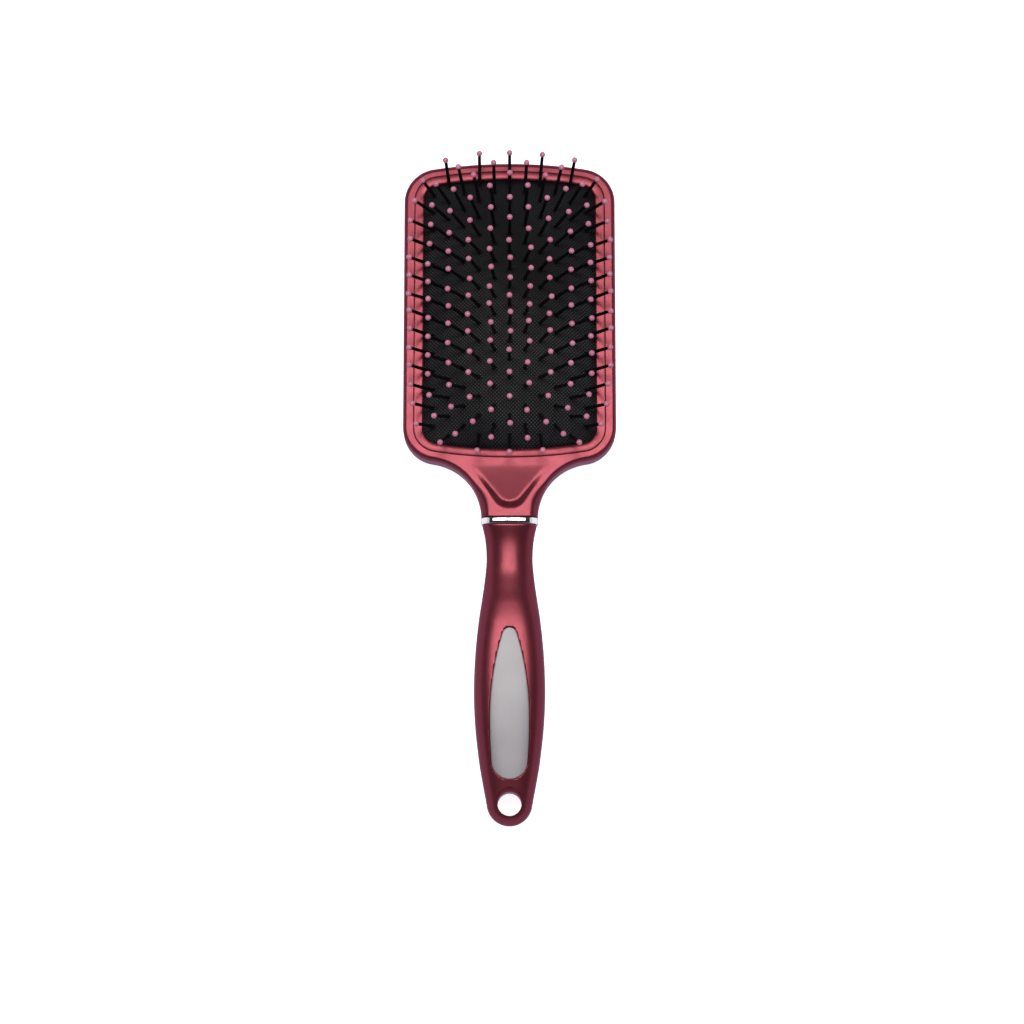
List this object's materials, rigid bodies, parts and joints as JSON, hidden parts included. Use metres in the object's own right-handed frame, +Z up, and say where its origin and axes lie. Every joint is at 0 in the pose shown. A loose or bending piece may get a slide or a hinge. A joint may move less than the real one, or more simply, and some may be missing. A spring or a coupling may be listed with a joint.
{
  "type": "paddle hair brush",
  "caption": "Rectangular paddle hair brush: lacquered paddle, sprung domed rubber cushion with ball-tipped pins, metal ring, waisted handle with inlaid plate and hanging hole.",
  "frame": {"origin": "under the middle of the whole brush, on the surface it lies on", "axes": "+Z up, out of the pins; +Y from the handle to the head; +X to the right seen from the front"},
  "size_m": [0.0794, 0.2513, 0.0373],
  "materials": {
    "lacquer": "satin pearlescent red lacquer",
    "rubber": "matt black rubber with a fine woven texture",
    "nylon": "semi-matt black nylon",
    "tip": "glossy pink dipped tips",
    "chrome": "polished",
    "plate": "satin, lightly brushed",
    "glue": "clear adhesive film"
  },
  "bodies": {
    "brush_body": {"head_shell": "lacquer", "cushion_frame": "lacquer", "collar_ring": "chrome", "handle": "lacquer", "inlay_plate": "plate", "plate_glue": "glue"},
    "cushion": {"cushion_pad": "rubber"},
    "pins_01": {"pin_column_01": "nylon", "tip_column_01": "tip"},
    "pins_02": {"pin_column_02": "nylon", "tip_column_02": "tip"},
    "pins_03": {"pin_column_03": "nylon", "tip_column_03": "tip"},
    "pins_04": {"pin_column_04": "nylon", "tip_column_04": "tip"},
    "pins_05": {"pin_column_05": "nylon", "tip_column_05": "tip"},
    "pins_06": {"pin_column_06": "nylon", "tip_column_06": "tip"},
    "pins_07": {"pin_column_07": "nylon", "tip_column_07": "tip"},
    "pins_08": {"pin_column_08": "nylon", "tip_column_08": "tip"},
    "pins_09": {"pin_column_09": "nylon", "tip_column_09": "tip"},
    "pins_10": {"pin_column_10": "nylon", "tip_column_10": "tip"},
    "pins_11": {"pin_column_11": "nylon", "tip_column_11": "tip"}
  },
  "joints": [
    {"name": "cushion_press", "type": "slide", "parent": "brush_body", "child": "cushion", "axis": [0, 0, -1], "range_m": [0, 0.0016], "stiffness_N_per_m": 3000, "deforming": ["cushion_pad"]},
    {"name": "pins_01_tilt", "type": "hinge", "parent": "cushion", "child": "pins_01", "pos_m": [-0.02832, 0.0674, 0.01323], "axis": [0, 1, 0], "range_deg": [-8, 8], "stiffness_Nm_per_rad": 0.3},
    {"name": "pins_02_tilt", "type": "hinge", "parent": "cushion", "child": "pins_02", "pos_m": [-0.02266, 0.0674, 0.01569], "axis": [0, 1, 0], "range_deg": [-8, 8], "stiffness_Nm_per_rad": 0.3},
    {"name": "pins_03_tilt", "type": "hinge", "parent": "cushion", "child": "pins_03", "pos_m": [-0.01699, 0.0674, 0.0175], "axis": [0, 1, 0], "range_deg": [-8, 8], "stiffness_Nm_per_rad": 0.3},
    {"name": "pins_04_tilt", "type": "hinge", "parent": "cushion", "child": "pins_04", "pos_m": [-0.01133, 0.0674, 0.01872], "axis": [0, 1, 0], "range_deg": [-8, 8], "stiffness_Nm_per_rad": 0.3},
    {"name": "pins_05_tilt", "type": "hinge", "parent": "cushion", "child": "pins_05", "pos_m": [-0.00566, 0.0674, 0.01938], "axis": [0, 1, 0], "range_deg": [-8, 8], "stiffness_Nm_per_rad": 0.3},
    {"name": "pins_06_tilt", "type": "hinge", "parent": "cushion", "child": "pins_06", "pos_m": [0, 0.0674, 0.01956], "axis": [0, 1, 0], "range_deg": [-8, 8], "stiffness_Nm_per_rad": 0.3},
    {"name": "pins_07_tilt", "type": "hinge", "parent": "cushion", "child": "pins_07", "pos_m": [0.00566, 0.0674, 0.01938], "axis": [0, 1, 0], "range_deg": [-8, 8], "stiffness_Nm_per_rad": 0.3},
    {"name": "pins_08_tilt", "type": "hinge", "parent": "cushion", "child": "pins_08", "pos_m": [0.01133, 0.0674, 0.01872], "axis": [0, 1, 0], "range_deg": [-8, 8], "stiffness_Nm_per_rad": 0.3},
    {"name": "pins_09_tilt", "type": "hinge", "parent": "cushion", "child": "pins_09", "pos_m": [0.01699, 0.0674, 0.0175], "axis": [0, 1, 0], "range_deg": [-8, 8], "stiffness_Nm_per_rad": 0.3},
    {"name": "pins_10_tilt", "type": "hinge", "parent": "cushion", "child": "pins_10", "pos_m": [0.02266, 0.0674, 0.01569], "axis": [0, 1, 0], "range_deg": [-8, 8], "stiffness_Nm_per_rad": 0.3},
    {"name": "pins_11_tilt", "type": "hinge", "parent": "cushion", "child": "pins_11", "pos_m": [0.02832, 0.0674, 0.01323], "axis": [0, 1, 0], "range_deg": [-8, 8], "stiffness_Nm_per_rad": 0.3}
  ]
}
